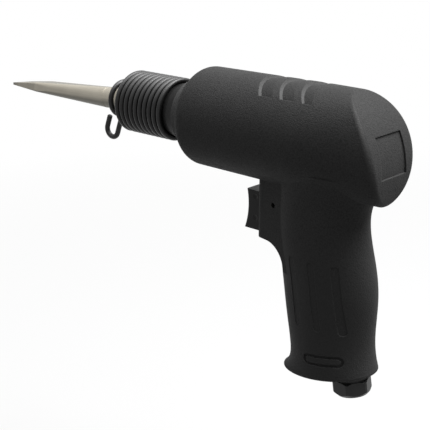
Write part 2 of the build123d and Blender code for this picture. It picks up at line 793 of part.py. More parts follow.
wire_section = pi * spring_wire * spring_wire / 4
print("retainer spring: volume", retainer_spring.part.volume)
print("retainer spring: section times length", wire_section * spring_path.wire().length)
print("retainer spring: least gap to itself", least_gap(spring_path.wire(), spring_wire))

# Trigger: block with a dished face and dimpled sides, and a slotted tongue that the pin holds
dimple_ball_radius = (dimple_radius**2 + dimple_depth**2) / (2 * dimple_depth)
dimple_ball_y = trigger_half_width + dimple_ball_radius - dimple_depth
dimple_x = housing_front + dimple_reach
dimple_top = barrel_height - trigger_top_drop - dimple_top_fall
slot_front_x = pin_x + pin_radius + pin_clearance + trigger_travel
slot_rear_x = pin_x - pin_radius - pin_clearance
with BuildPart() as trigger:
    top = barrel_height - trigger_top_drop
    bottom = barrel_height - trigger_bottom_drop
    dish_x = (trigger_top_x + trigger_bottom_x) / 2 - trigger_dip
    with BuildSketch(Plane.XZ):
        with BuildLine():
            ThreePointArc((trigger_top_x, top), (dish_x, (top + bottom) / 2), (trigger_bottom_x, bottom))
            Polyline(
                (trigger_bottom_x, bottom),
                (trigger_rear_x, bottom),
                (trigger_rear_x, top),
                (trigger_top_x, top),
            )
        make_face()
    extrude(amount=trigger_half_width, both=True)
    dished_face = trigger.faces().filter_by(GeomType.CYLINDER)
    fillet(dished_face.edges().filter_by(GeomType.CIRCLE), trigger_edge)
    with BuildSketch(station(tongue_rear_x, pin_drop)):
        Rectangle(2 * tongue_half_width, tongue_height)
    extrude(amount=trigger_rear_x + trigger_edge - tongue_rear_x)
    with BuildSketch(Plane.XZ):
        with Locations(((slot_front_x + slot_rear_x) / 2, barrel_height - pin_drop)):
            SlotOverall(slot_front_x - slot_rear_x, 2 * (pin_radius + pin_clearance))
    extrude(amount=2 * tongue_half_width, both=True, mode=Mode.SUBTRACT)
    for height in (dimple_top, dimple_top - dimple_pitch):
        with Locations((dimple_x, dimple_ball_y, height), (dimple_x, -dimple_ball_y, height)):
            Sphere(dimple_ball_radius, mode=Mode.SUBTRACT)

with BuildPart() as trigger_pin:
    with BuildSketch(Plane.XZ):
        with Locations((pin_x, barrel_height - pin_drop)):
            Circle(pin_radius)
    extrude(amount=housing_half_width - pin_end_depth, both=True)

# Throttle: brass bush with the seat, stem with its rubber face, seals and spring
bush_groove_x = bush_front_x - bush_groove_setback
stem_seal_x = bush_front_x - stem_seal_length
stem_seal_radius = stem_radius + stem_clearance + stem_seal_wall
with BuildPart() as throttle_bush:
    bar(station(bush_rear_x, throttle_drop), bush_radius, bush_length)
    bar(station(bush_rear_x, throttle_drop), stem_radius + stem_clearance, bush_length, Mode.SUBTRACT)
    bar(
        station(bush_rear_x, throttle_drop),
        bush_chamber_radius,
        bush_length - bush_guide_length,
        Mode.SUBTRACT,
    )
    bar(station(stem_seal_x, throttle_drop), stem_seal_radius, stem_seal_length, Mode.SUBTRACT)
    with BuildSketch(station(bush_groove_x - bush_groove_width, throttle_drop)):
        Circle(bush_radius)
        Circle(bush_radius - bush_groove_depth, mode=Mode.SUBTRACT)
    extrude(amount=bush_groove_width, mode=Mode.SUBTRACT)
    with BuildSketch(Plane.XY.offset(throttle_height)):
        with Locations((bush_port_x, 0)):
            Circle(bush_port_radius)
    extrude(amount=bush_radius, mode=Mode.SUBTRACT)

with BuildPart() as bush_seal:
    with BuildSketch(station(bush_groove_x - bush_groove_width, throttle_drop)):
        Circle(bush_radius)
        Circle(bush_radius - bush_groove_depth, mode=Mode.SUBTRACT)
    extrude(amount=bush_groove_width)

with BuildPart() as stem_seal:
    with BuildSketch(station(stem_seal_x, throttle_drop)):
        Circle(stem_seal_radius)
        Circle(stem_radius + stem_clearance, mode=Mode.SUBTRACT)
    extrude(amount=stem_seal_length)

stem_front_x = trigger_rear_x - stem_gap
with BuildPart() as throttle_stem:
    bar(station(head_front_x, throttle_drop), stem_radius, stem_front_x - head_front_x)
    bar(station(head_rear_x, throttle_drop), valve_head_radius, valve_head_thickness)
    bar(
        station(head_rear_x - valve_head_thickness, throttle_drop),
        valve_spigot_radius,
        valve_head_thickness,
    )

with BuildPart() as throttle_seal:
    with BuildSketch(station(head_front_x, throttle_drop)):
        Circle(valve_head_radius)
        Circle(stem_radius, mode=Mode.SUBTRACT)
    extrude(amount=valve_seal_thickness - stem_gap)


def throttle_spring_point(turn):
    """Middle of the throttle spring's wire after a number of turns from the rear end."""
    free_length = throttle_spring_length - throttle_spring_gap - throttle_wire
    x = chamber_rear_x + throttle_wire / 2 + free_length * turn / throttle_spring_turns
    angle = 2 * pi * turn
    side = throttle_spring_radius * cos(angle)
    return Vector(x, side, throttle_height + throttle_spring_radius * sin(angle))


def throttle_spring_heading(turn):
    """Direction of the throttle spring's wire after a number of turns."""
    step = 0.001
    ahead = throttle_spring_point(turn + step)
    return (ahead - throttle_spring_point(turn - step)).normalized()


with BuildPart() as throttle_spring:
    with BuildLine() as throttle_path:
        for quarter in range(4 * throttle_spring_turns):
            biarc(
                throttle_spring_point(quarter / 4),
                throttle_spring_heading(quarter / 4),
                throttle_spring_point((quarter + 1) / 4),
                throttle_spring_heading((quarter + 1) / 4),
            )
    with BuildSketch(Plane(origin=throttle_path.wire() @ 0, z_dir=throttle_path.wire() % 0)):
        Circle(throttle_wire / 2)
    sweep(path=throttle_path.wire())

# Air inlet: hexagon bushing, its seal and the strainer
bushing_shoulder = casting_foot - inlet_seal_thickness
screen_radius = inlet_bore_radius - screen_step
inlet_way_radius = screen_radius - screen_ledge
hex_turned_radius = hex_across_flats / sqrt(3) - hex_corner_cut
with BuildPart() as inlet_bushing:
    bar(inlet_station(0), hex_turned_radius, hex_length)
    hex_ends = inlet_bushing.faces().filter_by(GeomType.PLANE).sort_by(Axis.Z)
    chamfer(hex_ends[0].edges(), hex_mouth_chamfer)
    chamfer(hex_ends[-1].edges(), hex_chamfer)
    with BuildSketch(inlet_station(0)):
        RegularPolygon(hex_across_flats / 2, 6, major_radius=False, rotation=hex_turn)
    extrude(amount=hex_length, mode=Mode.INTERSECT)
    bar(inlet_station(hex_length), inlet_neck_radius, bushing_shoulder - hex_length)
    bar(
        inlet_station(bushing_shoulder),
        inlet_thread_radius,
        inlet_seal_thickness + inlet_thread_length,
    )
    bar(inlet_station(0), inlet_bore_radius, inlet_bore_depth, Mode.SUBTRACT)
    bar(inlet_station(inlet_bore_depth), screen_radius, screen_thickness, Mode.SUBTRACT)
    bar(inlet_station(0), inlet_way_radius, casting_foot + inlet_thread_length, Mode.SUBTRACT)

with BuildPart() as inlet_seal:
    with BuildSketch(inlet_station(bushing_shoulder)):
        Circle(inlet_neck_radius + inlet_seal_margin)
        Circle(inlet_thread_radius, mode=Mode.SUBTRACT)
    extrude(amount=inlet_seal_thickness)

with BuildPart() as inlet_screen:
    with BuildSketch(inlet_station(inlet_bore_depth)):
        Circle(screen_radius)
        with HexLocations(screen_pitch / 2, 3, 3):
            Circle(screen_hole_radius, mode=Mode.SUBTRACT)
    extrude(amount=screen_thickness)

os.makedirs("parts", exist_ok=True)
save(housing_jacket.part, "housing_jacket")
save(body_casting.part, "body_casting")
save(barrel.part, "barrel")
save(piston.part, "piston")
save(valve_plate.part, "valve_plate")
save(valve_disc.part, "valve_disc")
save(valve_cap.part, "valve_cap")
save(valve_dowels.part, "valve_dowels")
save(cap_gasket.part, "cap_gasket")
save(chisel.part, "chisel")
save(retainer_spring.part, "retainer_spring")
save(trigger.part, "trigger")
save(trigger_pin.part, "trigger_pin")
save(throttle_bush.part, "throttle_bush")
save(bush_seal.part, "bush_seal")
save(stem_seal.part, "stem_seal")
save(throttle_stem.part, "throttle_stem")
save(throttle_seal.part, "throttle_seal")
save(throttle_spring.part, "throttle_spring")
save(inlet_bushing.part, "inlet_bushing")
save(inlet_seal.part, "inlet_seal")
save(inlet_screen.part, "inlet_screen")
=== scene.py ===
from math import cos, pi, radians, sin, sqrt

import bpy
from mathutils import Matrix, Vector


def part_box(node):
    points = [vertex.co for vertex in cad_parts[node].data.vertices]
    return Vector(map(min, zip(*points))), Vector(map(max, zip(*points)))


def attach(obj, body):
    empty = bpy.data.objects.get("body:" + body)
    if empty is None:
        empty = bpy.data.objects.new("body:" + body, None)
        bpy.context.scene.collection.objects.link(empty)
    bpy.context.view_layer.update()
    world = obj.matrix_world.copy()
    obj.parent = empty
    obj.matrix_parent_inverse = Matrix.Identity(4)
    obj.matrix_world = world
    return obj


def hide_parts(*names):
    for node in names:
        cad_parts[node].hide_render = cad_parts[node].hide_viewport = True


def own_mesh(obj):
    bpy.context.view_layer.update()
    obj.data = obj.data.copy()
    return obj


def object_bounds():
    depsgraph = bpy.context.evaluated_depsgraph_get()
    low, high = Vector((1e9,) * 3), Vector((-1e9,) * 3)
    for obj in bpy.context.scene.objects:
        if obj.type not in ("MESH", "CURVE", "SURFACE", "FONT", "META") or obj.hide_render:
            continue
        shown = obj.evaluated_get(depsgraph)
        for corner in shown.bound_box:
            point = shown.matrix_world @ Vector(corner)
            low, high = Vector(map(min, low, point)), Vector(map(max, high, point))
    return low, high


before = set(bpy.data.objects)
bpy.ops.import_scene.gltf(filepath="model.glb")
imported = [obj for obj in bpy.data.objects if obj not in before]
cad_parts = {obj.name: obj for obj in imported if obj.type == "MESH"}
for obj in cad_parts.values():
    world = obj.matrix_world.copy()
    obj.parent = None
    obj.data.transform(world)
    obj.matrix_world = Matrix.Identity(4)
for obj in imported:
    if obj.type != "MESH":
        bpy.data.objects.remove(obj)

# Air hammer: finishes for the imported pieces, two wound springs, the inlet's thread and a plain studio.
# Metres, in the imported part's frame: +X points to the chisel, +Z up, origin at the air inlet's mouth.

cad_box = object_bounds()
MM = 0.001

# Photograph
photo_side = 430                    # pixels
focal_length = 1000                 # pixels
sensor_width = 36.0                 # millimetres on the camera's sensor
camera_place = Vector((-0.2694, 0.4073, 0.2622))
camera_aim = Vector((0.638, -0.702, -0.317))

# Retainer spring, as it is wound in the part
barrel_height = 136.6 * MM
spring_rear_x = 126.4 * MM
spring_wire = 3.2 * MM
spring_radius = 16.9 * MM           # middle of the wire
spring_pitch = 3.83 * MM
spring_turns = 9.7
cone_turns = 0.6
cone_lead = 0.2                     # share of the cone before it narrows
cone_settle = 0.85                  # share of the cone after which its pitch is even again
ring_turns = 0.5
ring_radius = 10.1 * MM
ring_start_x = 175.3 * MM
ring_end_angle = radians(-75)
hook_lean = radians(21)
hook_radius = 4.8 * MM
hook_fall = 3.6 * MM
hook_advance = 1.6 * MM
hook_leg = 10.2 * MM
hook_end_leg = 7.2 * MM
spring_wire_sides = 24
spring_points_per_turn = 72
joining_points = 10                 # along each arc between ring and hook
hook_points = 24

# Painted shade between the coils, none on their ridges, which are also smoother
ridge_start = spring_radius - 0.1 * spring_wire
ridge_full = spring_radius + 0.45 * spring_wire
coils_end_x = ring_start_x - 4 * MM
coils_full_x = ring_start_x - 8 * MM

# Throttle spring, inside, wound as it stands in the part (the real one shortens as the throttle opens)
throttle_wire = 0.9 * MM
throttle_turns = 5
throttle_wire_sides = 12

# Thread in the air inlet
inlet_lean = radians(9.5)
inlet_bore_radius = 5.6 * MM
thread_pitch = 1.41 * MM
thread_wire = 0.95 * MM
thread_start = 1.6 * MM
thread_end = 11.8 * MM
thread_sides = 8

# All wound pieces
wire_end_round = 0.35 * MM          # broken edge at the wire's cut ends
small_points_per_turn = 36

# Jacket: highlights are painted on the neck, the front walls of the grooves on top and the rim of the
# back, and the grip is darker below its top
neck_rear_x = 112.4 * MM
groove_front_x = 62.5 * MM
groove_rear_x = 24.0 * MM
groove_foot = barrel_height + 19 * MM
groove_foot_fade = 2 * MM
groove_top = barrel_height + 28 * MM
groove_top_fade = 4 * MM
rim_foot = 110 * MM
rim_fade = 30 * MM
grip_top = 104 * MM
grip_fade = 40 * MM
soft_step = 1 * MM                  # between a stretch with a painted highlight, or the chisel's darker bevel, and the next

# Chisel, as it has turned about its own axis in the part
chisel_roll = radians(5.2)
bevel_x = 252.8 * MM
edge_x = 275.8 * MM
edge_fade = 6 * MM

# Directions that a surface can face
rearward = (-1, 0, 0)
leftward = (0, 1, 0)
rightward = (0, -1, 0)
upward = (0, 0, 1)
left_and_down = (0, 0.7, -0.7)
chisel_flats = (0, -sin(chisel_roll), cos(chisel_roll))

# Studio
floor_drop = 0.12
floor_size = 16.0
floor_white = 0.8                   # share of the floor near the part that is plain white to the camera
floor_near = 0.3
floor_far = 1.0                     # all of the floor is plain white past this distance
surround_level = 0.2
lamp_distance = 0.9


def grey(level):
    """Grey of a linear level."""
    return (level, level, level, 1)


# Colours
white = grey(1.0)
jacket_black = grey(0.025)
jacket_grey = grey(0.054)
jacket_edge = grey(0.09)
# Painted highlight on the front walls of the grooves
groove_highlight_grey = grey(0.105)
# Painted sheen on the neck and on the rim of the back
painted_sheen_grey = grey(0.08)
# Darker colour below the grip's top
lower_grip_black = grey(0.034)
trigger_black = grey(0.016)
trigger_grey = grey(0.030)
# Painted light on the trigger's upward faces
trigger_top_light = grey(0.32)
forged_dark = (0.36, 0.33, 0.27, 1)
forged_bright = (0.51, 0.475, 0.40, 1)
# Painted shade under the chisel and on its flats, and the darker tone of its bevel and edge
chisel_shade_and_tip_dark = (0.14, 0.135, 0.115, 1)
# Painted shade between the retainer's coils
wire_gap_shade = grey(0.006)
wire_black = grey(0.018)
wire_grey = grey(0.038)
# Painted light on the spring's upper side
wire_lit_top = grey(0.13)
oxide_edge = grey(0.12)
cast_dark = grey(0.34)
cast_bright = grey(0.46)
floor_paint = grey(0.72)            # part of the floor that keeps the shadow
floor_bounce = grey(0.12)           # floor as it lights the part from below


class Nodes:
    """A node tree that is filled one node at a time."""

    def __init__(self, tree):
        self.tree = tree

    def feed(self, socket, value):
        """Sets a socket to a value, or links an output to it."""
        if isinstance(value, Output):
            self.tree.links.new(value.socket, socket)
        else:
            socket.default_value = value

    def add(self, kind, settings=None, sockets=None, output=0):
        """New node: its settings first, then its sockets' values or links. Returns one of its outputs."""
        node = self.tree.nodes.new(kind)
        for name, value in (settings or {}).items():
            if name == "stops":
                self.set_stops(node.color_ramp, value)
            else:
                setattr(node, name, value)
        for key, value in (sockets or {}).items():
            self.feed(node.inputs[key], value)
        if not len(node.outputs):
            return node
        return Output(self, node.outputs[output])

    @staticmethod
    def set_stops(ramp, stops):
        """Two stops of a colour ramp, as places and grey levels."""
        for element, (place, level) in zip(ramp.elements, stops):
            element.position = place
            element.color = grey(level)


class Output:
    """An output socket. Arithmetic on it adds Math nodes."""

    def __init__(self, nodes, socket):
        self.nodes = nodes
        self.socket = socket

    def other(self, name):
        """Another output of the same node."""
        return Output(self.nodes, self.socket.node.outputs[name])

    def math(self, operation, first, second):
        """Math node on two numbers or outputs."""
        return self.nodes.add("ShaderNodeMath", {"operation": operation}, {0: first, 1: second})

    def __add__(self, other):
        return self.math("ADD", self, other)

    def __radd__(self, other):
        return self.math("ADD", other, self)

    def __sub__(self, other):
        return self.math("SUBTRACT", self, other)

    def __rsub__(self, other):
        return self.math("SUBTRACT", other, self)

    def __mul__(self, other):
        return self.math("MULTIPLY", self, other)

    def __rmul__(self, other):
        return self.math("MULTIPLY", other, self)

    def __truediv__(self, other):
        return self.math("DIVIDE", self, other)

    def __rtruediv__(self, other):
        return self.math("DIVIDE", other, self)


class Finish(Nodes):
    """A procedural material on the Principled shader, patterned by the piece's own coordinates."""

    def __init__(self, name):
        self.material = bpy.data.materials.new(name)
        self.material.use_nodes = True
        super().__init__(self.material.node_tree)
        self.shader = self.tree.nodes["Principled BSDF"]
        self.place = self.add("ShaderNodeTexCoord", output="Object")

    def axis(self, name):
        """One of the piece's coordinates, in metres."""
        return self.add("ShaderNodeSeparateXYZ", sockets={0: self.place}, output=name)

    def stretched(self, scale):
        """The piece's coordinates, stretched along its axes."""
        return self.add("ShaderNodeMapping", sockets={0: self.place, "Scale": scale})

    def noise(self, size, detail=2.0, rough=0.5, place=None):
        """Soft noise from 0 to 1, with spots of a size in metres."""
        sockets = {"Vector": place or self.place, "Scale": 1 / size, "Detail": detail, "Roughness": rough}
        return self.add("ShaderNodeTexNoise", sockets=sockets)

    def pebbles(self, size):
        """Rounded cells of a size in metres, high in their middles."""
        settings = {"feature": "SMOOTH_F1"}
        sockets = {"Vector": self.place, "Scale": 1 / size, "Smoothness": 0.6, "Randomness": 1.0}
        return 1 - self.add("ShaderNodeTexVoronoi", settings, sockets)

    def ramp(self, value, *stops):
        """Grey levels between two stops."""
        return self.add("ShaderNodeValToRGB", {"stops": stops}, {0: value})

    def mix(self, share, first, second):
        """Colour between two colours."""
        colours = {0: share, 6: first, 7: second}
        return self.add("ShaderNodeMix", {"data_type": "RGBA"}, colours, output=2)

    def measure(self, operation, *vectors):
        """Number that a Vector Math node takes from one or two vectors."""
        sockets = dict(enumerate(vectors))
        return self.add("ShaderNodeVectorMath", {"operation": operation}, sockets, output="Value")

    def between(self, value, start, end):
        """0 to 1 as a value goes from a start to an end."""
        return self.add("ShaderNodeMapRange", sockets={0: value, 1: start, 2: end, 3: 0.0, 4: 1.0})

    def facing(self, direction, start, end):
        """0 to 1 as the surface turns towards a direction, between two cosines."""
        normal = self.add("ShaderNodeNewGeometry", output="Normal")
        return self.between(self.measure("DOT_PRODUCT", normal, direction), start, end)

    def rounded(self, radius):
        """Normal of the surface as if its edges had a radius."""
        return self.add("ShaderNodeBevel", {"samples": 6}, {"Radius": radius})

    def edges(self, radius):
        """Above 0 on sharp outer and inner edges within a radius, 0 on open faces."""
        normal = self.add("ShaderNodeNewGeometry", output="Normal")
        return 1 - self.measure("DOT_PRODUCT", self.rounded(radius), normal)

    def bump(self, height, depth, strength, edge_radius=0.0):
        """Relief of a depth in metres on the shader's normal, over slightly rounded edges."""
        sockets = {"Strength": strength, "Distance": depth, "Height": height}
        if edge_radius:
            sockets["Normal"] = self.rounded(edge_radius)
        self.set(Normal=self.add("ShaderNodeBump", sockets=sockets))

    def set(self, **sockets):
        """Values or links of the shader's sockets, named with underscores for spaces."""
        for name, value in sockets.items():
            self.feed(self.shader.inputs[name.replace("_", " ")], value)


# Finishes


def groove_wall_highlights(finish):
    """1 on the front walls of the jacket's grooves, where a highlight is painted, fading towards the top
    of the body.
    """
    along = finish.axis("X")
    height = finish.axis("Z")
    above = finish.between(height, groove_foot, groove_foot + groove_foot_fade)
    fade = finish.between(height, groove_top, groove_top - groove_top_fade)
    ahead = finish.between(along, groove_front_x + soft_step, groove_front_x)
    behind = finish.between(along, groove_rear_x - soft_step, groove_rear_x)
    return finish.facing(rearward, 0.3, 0.75) * above * ahead * behind * (0.3 + fade * 0.7)


def back_rim_highlight(finish):
    """1 where the jacket's sides turn into its back, where a highlight is painted, fading downwards."""
    turning = finish.facing(rearward, 0.2, 0.5) * finish.facing(rearward, 0.9, 0.7)
    sideways = finish.facing(leftward, 0.2, 0.4) + finish.facing(rightward, 0.2, 0.4)
    return turning * sideways * finish.between(finish.axis("Z"), rim_foot, rim_foot + rim_fade)


def pebbled_jacket():
    """Matt black moulding with a fine pebble grain and rubbed edges, with highlights painted on the neck,
    the grooves' front walls and the back's rim, and darker and smoother below the grip's top.
    """
    finish = Finish("pebbled_jacket")
    grain = finish.pebbles(size=0.75 * MM)
    speckle = finish.noise(size=0.5 * MM)
    cloud = finish.noise(size=14 * MM, detail=3.0)
    tone = finish.ramp(grain * 0.4 + speckle * 0.4 + cloud * 0.2, (0.3, 0.0), (0.75, 1.0))
    moulded = finish.mix(tone, jacket_black, jacket_grey)
    # Painted highlight on the front walls of the grooves on top
    with_groove_highlights = finish.mix(groove_wall_highlights(finish) * (0.4 + speckle * 0.6), moulded, groove_highlight_grey)
    # Painted sheen on the neck band
    neck_sheen = finish.between(finish.axis("X"), neck_rear_x - soft_step, neck_rear_x + soft_step)
    # Painted highlight along the rim where the sides turn into the back
    rim_highlight = back_rim_highlight(finish) * (0.3 + speckle * 0.5)
    with_painted_sheen = finish.mix(neck_sheen * 0.8 + rim_highlight, with_groove_highlights, painted_sheen_grey)
    # Darker and smoother in colour below the grip's top
    grip = finish.between(finish.axis("Z"), grip_top, grip_top - grip_fade)
    darker_below = finish.mix(grip * 0.65, with_painted_sheen, lower_grip_black)
    rubbed = finish.edges(0.6 * MM) * 1.6
    finish.set(
        Base_Color=finish.mix(rubbed, darker_below, jacket_edge),
        Roughness=0.60 + cloud * 0.12 + speckle * 0.06,
        Specular_IOR_Level=0.1,
    )
    finish.bump(grain * 0.4 + speckle * 0.6, depth=0.35 * MM, strength=0.8, edge_radius=0.5 * MM)
    return finish.material


def satin_trigger():
    """Smooth black moulding with a satin skin, with light painted on where it faces up."""
    finish = Finish("satin_trigger")
    skin = finish.noise(size=0.5 * MM)
    cloud = finish.noise(size=6 * MM, detail=3.0)
    moulded = finish.mix(cloud, trigger_black, trigger_grey)
    # Painted light where the trigger faces up
    lit_top = finish.facing(upward, 0.6, 0.95) * (0.5 + cloud * 0.5)
    finish.set(
        Base_Color=finish.mix(lit_top, moulded, trigger_top_light),
        Roughness=0.32 + cloud * 0.12,
        Specular_IOR_Level=0.12,
    )
    finish.bump(skin, depth=0.05 * MM, strength=0.25, edge_radius=0.4 * MM)
    return finish.material


def chisel_steel():
    """Warm forged steel with marks along it, with shade painted underneath and on the flats, and darker
    on the bevel and towards the edge.
    """
    finish = Finish("chisel_steel")
    blasted = finish.noise(size=0.35 * MM, detail=3.0)
    drawn = finish.noise(size=1.2 * MM, detail=3.0, place=finish.stretched((0.04, 1, 1)))
    cloud = finish.noise(size=9 * MM, detail=3.0)
    steel = finish.mix(cloud * 0.6 + drawn * 0.4, forged_dark, forged_bright)
    along = finish.axis("X")
    # Painted shade on the chisel's lower side
    painted_underside_shade = finish.facing(left_and_down, 0.6, 0.88)
    bevel = finish.between(along, bevel_x, bevel_x + soft_step)
    edge = finish.between(along, edge_x - edge_fade, edge_x)
    # Painted shade on the flat faces, standing in for their dull reflection
    flat_shade = finish.facing(chisel_flats, 0.975, 0.99)
    shaded_below = finish.mix(painted_underside_shade * 0.85, steel, chisel_shade_and_tip_dark)
    # Darker on the bevel and towards the edge
    tip_darkened = finish.mix(bevel * 0.3 + edge * 0.5, shaded_below, chisel_shade_and_tip_dark)
    finish.set(
        Base_Color=finish.mix(flat_shade * 0.8, tip_darkened, chisel_shade_and_tip_dark),
        Metallic=0.45,
        Specular_IOR_Level=0.3,
        Roughness=0.30 + drawn * 0.14 + blasted * 0.06,
    )
    finish.bump(blasted * 0.6 + drawn * 0.4, depth=0.05 * MM, strength=0.3, edge_radius=0.3 * MM)
    return finish.material


def spring_oxide():
    """Black oxide wire with rubbed edges, smoother on the ridges of its coils, with shade painted between
    the coils and light painted on its upper side.
    """
    finish = Finish("spring_wire")
    blotch = finish.noise(size=5 * MM, detail=4.0, rough=0.6)
    skin = finish.noise(size=0.4 * MM)
    across = {"Y": finish.axis("Y"), "Z": finish.axis("Z") - barrel_height}
    radius = finish.measure("LENGTH", finish.add("ShaderNodeCombineXYZ", sockets=across))
    ridge = finish.between(radius, ridge_start, ridge_full)
    coils = finish.between(finish.axis("X"), coils_end_x, coils_full_x)
    # Painted shade between the coils
    ridge_share = 1 - coils * (1 - ridge)
    oxide = finish.mix(ridge_share, wire_gap_shade, finish.mix(blotch, wire_black, wire_grey))
    # Painted light where the wire faces up
    lit_upper = finish.facing(upward, 0.25, 0.85) * (0.6 + blotch * 0.4)
    lit_top_oxide = finish.mix(lit_upper * ridge_share * 0.75, oxide, wire_lit_top)
    rubbed = finish.edges(0.4 * MM) * 1.4
    finish.set(
        Base_Color=finish.mix(rubbed, lit_top_oxide, oxide_edge),
        Metallic=0.6,
        Specular_IOR_Level=0.15,
        Roughness=0.52 - ridge_share * 0.26 + blotch * 0.12 + skin * 0.05,
    )
    finish.bump(skin, depth=0.03 * MM, strength=0.3, edge_radius=0.35 * MM)
    return finish.material


def oxide_steel(name, dark, bright, rough):
    """Steel with a black oxide skin, rubbed brighter on its edges."""
    finish = Finish(name)
    blotch = finish.noise(size=5 * MM, detail=4.0, rough=0.6)
    skin = finish.noise(size=0.4 * MM)
    oxide = finish.mix(blotch, dark, bright)
    rubbed = finish.edges(0.4 * MM) * 1.4
    finish.set(
        Base_Color=finish.mix(rubbed, oxide, oxide_edge),
        Metallic=0.6,
        Specular_IOR_Level=0.2,
        Roughness=rough + blotch * 0.12 + skin * 0.05,
    )
    finish.bump(skin, depth=0.03 * MM, strength=0.3, edge_radius=0.35 * MM)
    return finish.material


def bright_metal(name, colour, rough):
    """Turned metal with fine marks round it."""
    finish = Finish(name)
    turned = finish.noise(size=0.3 * MM, place=finish.stretched((1, 0.1, 0.1)))
    cloud = finish.noise(size=4 * MM, detail=3.0)
    red, green, blue = colour
    darker = (0.75 * red, 0.75 * green, 0.75 * blue, 1)
    finish.set(
        Base_Color=finish.mix(turned * 0.4 + cloud * 0.6, darker, (red, green, blue, 1)),
        Metallic=1.0,
        Roughness=rough + turned * 0.15,
    )
    finish.bump(turned, depth=0.03 * MM, strength=0.3, edge_radius=0.2 * MM)
    return finish.material


def cast_metal():
    """Sand-cast light alloy."""
    finish = Finish("cast_metal")
    sand = finish.noise(size=0.6 * MM, detail=4.0)
    cloud = finish.noise(size=12 * MM, detail=3.0)
    finish.set(
        Base_Color=finish.mix(cloud, cast_dark, cast_bright),
        Metallic=1.0,
        Roughness=0.5 + sand * 0.15,
    )
    finish.bump(sand, depth=0.1 * MM, strength=0.4, edge_radius=0.3 * MM)
    return finish.material


def soft_seal(name, dark, bright):
    """Rubber or fibre with a dull skin."""
    finish = Finish(name)
    skin = finish.noise(size=0.5 * MM, detail=3.0)
    finish.set(
        Base_Color=finish.mix(skin, dark, bright),
        Roughness=0.62 + skin * 0.15,
        Specular_IOR_Level=0.35,
    )
    finish.bump(skin, depth=0.04 * MM, strength=0.3)
    return finish.material


jacket = pebbled_jacket()
trigger_skin = satin_trigger()
chisel_skin = chisel_steel()
spring_skin = spring_oxide()
barrel_skin = oxide_steel("barrel_oxide", dark=grey(0.014), bright=grey(0.028), rough=0.42)
inlet_skin = oxide_steel("inlet_oxide", dark=grey(0.016), bright=grey(0.032), rough=0.36)
hard_steel = bright_metal("hard_steel", colour=(0.55, 0.55, 0.56), rough=0.22)
spring_steel = bright_metal("small_spring_steel", colour=(0.48, 0.48, 0.50), rough=0.28)
brass = bright_metal("brass", colour=(0.72, 0.52, 0.24), rough=0.25)
casting = cast_metal()
rubber = soft_seal("seal_rubber", dark=grey(0.012), bright=grey(0.022))
gasket = soft_seal("gasket_fibre", dark=grey(0.10), bright=grey(0.16))

node_finishes = {
    "housing_jacket": jacket,
    "body_casting": casting,
    "barrel": barrel_skin,
    "piston": hard_steel,
    "valve_plate": hard_steel,
    "valve_disc": hard_steel,
    "valve_cap": hard_steel,
    "valve_dowels": hard_steel,
    "cap_gasket": gasket,
    "chisel": chisel_skin,
    "retainer_spring": spring_skin,
    "trigger": trigger_skin,
    "trigger_pin": barrel_skin,
    "throttle_bush": brass,
    "bush_seal": rubber,
    "stem_seal": rubber,
    "throttle_stem": hard_steel,
    "throttle_seal": rubber,
    "throttle_spring": spring_steel,
    "inlet_bushing": inlet_skin,
    "inlet_seal": rubber,
    "inlet_screen": brass,
}
for name, material in node_finishes.items():
    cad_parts[name].material_slots[0].material = material


# Wound pieces: a wire swept along a path


def ease(share):
    """Smooth step from 0 to 1, level at both ends."""
    share = min(max(share, 0.0), 1.0)
    return share * share * (3 - 2 * share)


def spring_point(turn):
    """Middle of the retainer's wire after a number of turns from the rear end."""
    cone = (turn - spring_turns) / cone_turns
    stretch = ring_start_x - spring_rear_x - spring_pitch * (spring_turns + cone_turns)
    radius = spring_radius + (ring_radius - spring_radius) * ease((cone - cone_lead) / (1 - cone_lead))
    x = spring_rear_x + spring_pitch * turn + stretch * ease(cone / cone_settle)
    angle = ring_end_angle + 2 * pi * (spring_turns + cone_turns + ring_turns - turn)
    return Vector((x, radius * cos(angle), barrel_height + radius * sin(angle)))


def spring_heading(turn):
    """Direction of the retainer's wire after a number of turns."""
    step = 0.001
    return (spring_point(turn + step) - spring_point(turn - step)).normalized()


def arc_points(start, heading, end, count):
    """Points along the arc from start to end that leaves along a heading, without its start."""
    span = end - start
    forward = heading.normalized()
    across = (span - forward * span.dot(forward)).normalized()
    radius = span.length_squared / (2 * span.dot(across))
    swing = 2 * span.angle(forward)
    angles = [swing * number / count for number in range(1, count + 1)]
    return [start + forward * radius * sin(a) + across * radius * (1 - cos(a)) for a in angles]


def biarc_points(start, start_heading, end, end_heading, count):
    """Points along two tangent arcs from a point and heading to another point and heading."""
    span = end - start
    spread = 2 * (1 - start_heading.dot(end_heading))
    reach = span.dot(start_heading + end_heading)
    handle = (sqrt(reach * reach + spread * span.dot(span)) - reach) / spread
    first = start + start_heading * handle
    second = end - end_heading * handle
    middle = (first + second) / 2
    leaving = arc_points(start, start_heading, middle, count)
    return leaving + arc_points(middle, second - first, end, count)


def spring_route():
    """Middle line of the retainer spring: coils, cone, ring and hook."""
    all_turns = spring_turns + cone_turns + ring_turns
    count = round(all_turns * spring_points_per_turn)
    coils = [spring_point(all_turns * number / count) for number in range(count + 1)]
    tail = coils[0] - spring_heading(0) * spring_wire
    down = Vector((sin(hook_lean), 0, -cos(hook_lean)))
    across = Vector((cos(hook_lean), 0, sin(hook_lean)))
    leg_start = Vector((coils[-1].x + hook_advance, 0, coils[-1].z - hook_fall))
    leg_end = leg_start + down * hook_leg
    joining = biarc_points(coils[-1], spring_heading(all_turns), leg_start, down, joining_points)
    bend = [pi * number / hook_points for number in range(hook_points + 1)]
    hook = [leg_end + (across * (1 - cos(a)) + down * sin(a)) * hook_radius for a in bend]
    return [tail] + coils + joining + hook + [hook[-1] - down * hook_end_leg]


